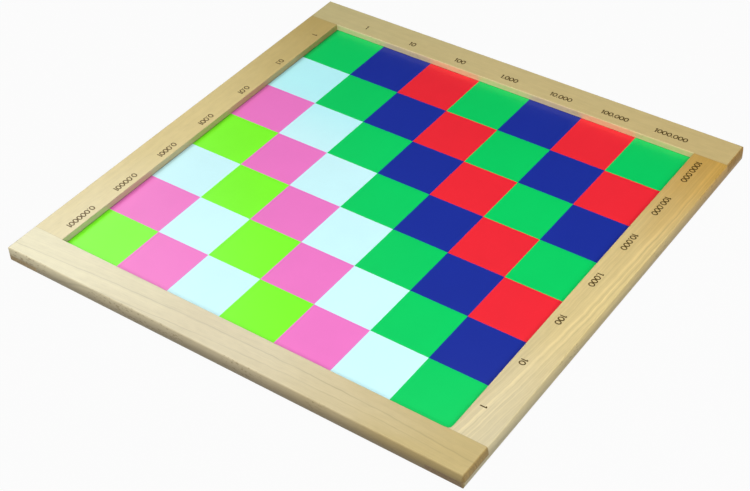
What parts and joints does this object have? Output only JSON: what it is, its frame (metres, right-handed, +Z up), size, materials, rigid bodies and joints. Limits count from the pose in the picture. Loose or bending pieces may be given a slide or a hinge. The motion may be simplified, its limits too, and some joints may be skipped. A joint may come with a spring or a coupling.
{
  "type": "decimal multiplication board",
  "caption": "Shallow square hardwood tray with half-lapped corners and a printed floor of coloured squares, for laying out place values in decimal multiplication.",
  "frame": {"origin": "middle of the frame's underside", "axes": "+X runs along the blank front rail to the right, +Y towards the back rail, +Z up out of the tray"},
  "size_m": [0.578, 0.578, 0.019],
  "materials": {
    "front_wood": "satin",
    "back_wood": "satin",
    "left_wood": "satin",
    "right_wood": "satin",
    "panel_board": "matt",
    "green_print": "satin",
    "dark_blue_print": "satin",
    "red_print": "satin",
    "light_blue_print": "satin",
    "pink_print": "satin",
    "lime_print": "satin"
  },
  "bodies": {
    "root": {"front_rail": "front_wood", "back_rail": "back_wood", "left_rail": "left_wood", "right_rail": "right_wood", "panel": "panel_board", "green_fields": "green_print", "dark_blue_fields": "dark_blue_print", "red_fields": "red_print", "light_blue_fields": "light_blue_print", "pink_fields": "pink_print", "lime_fields": "lime_print"}
  },
  "joints": []
}
